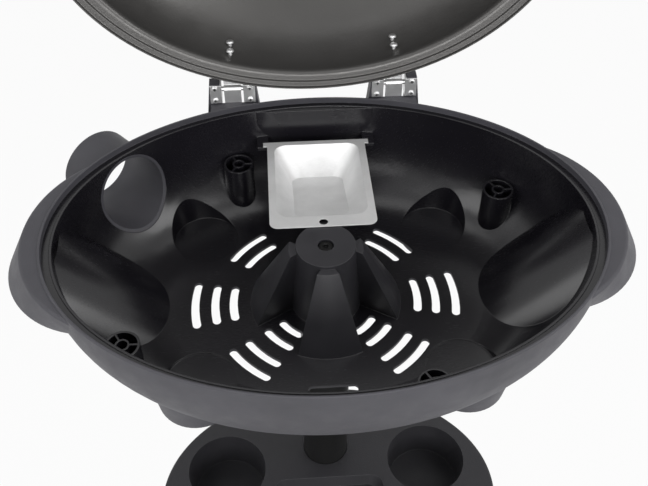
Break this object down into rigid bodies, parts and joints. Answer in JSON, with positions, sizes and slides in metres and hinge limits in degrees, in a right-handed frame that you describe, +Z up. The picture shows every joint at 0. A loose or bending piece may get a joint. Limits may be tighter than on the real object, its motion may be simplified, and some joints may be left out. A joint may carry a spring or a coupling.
{
  "type": "electric grill",
  "caption": "Electric grill on a pole stand: oval moulded bowl with side handles, open hinged dome lid, lift-out drip tray, shelf with cup holders and a round weighted base",
  "frame": {"origin": "on the floor, under the axis of the pole", "axes": "+Z up along the pole, +Y to the hinge side, X along the bowl's long axis"},
  "size_m": [0.5659, 0.5351, 1.1935],
  "materials": {
    "bowl_plastic": "satin",
    "tray_aluminium": "satin",
    "lid_paint": "satin",
    "black_plastic": "matte",
    "zinc_steel": "bright",
    "pole_paint": "satin",
    "shelf_plastic": "matte",
    "weight_iron": "painted"
  },
  "bodies": {
    "stand": {"bowl": "bowl_plastic", "control_sleeve": "bowl_plastic", "hinge_screws": "zinc_steel", "left_hinge_pin": "zinc_steel", "right_hinge_pin": "zinc_steel", "left_hinge_saddles": "zinc_steel", "right_hinge_saddles": "zinc_steel", "stand_bolt": "zinc_steel", "pole_top_plug": "black_plastic", "upper_pole": "pole_paint", "lower_pole": "pole_paint", "pole_coupler": "black_plastic", "shelf": "shelf_plastic", "shelf_screws": "zinc_steel", "base_cover": "shelf_plastic", "base_weight": "weight_iron", "base_screws": "zinc_steel"},
    "lid": {"lid_shell": "lid_paint", "lid_handle": "black_plastic", "lid_handle_spacers": "black_plastic", "lid_handle_screws": "zinc_steel", "lid_bracket_screws": "zinc_steel", "left_lid_bracket": "black_plastic", "right_lid_bracket": "black_plastic", "left_hinge_leaf": "zinc_steel", "right_hinge_leaf": "zinc_steel"},
    "tray": {"drip_tray": "tray_aluminium"}
  },
  "joints": [
    {"name": "lid_hinge", "type": "hinge", "parent": "stand", "child": "lid", "pos_m": [0, 0.187, 0.8127], "axis": [-1, 0, 0], "range_deg": [-98, 0]},
    {"name": "tray_lift", "type": "slide", "parent": "stand", "child": "tray", "axis": [0, 0, 1], "range_m": [0, 0.048]}
  ]
}
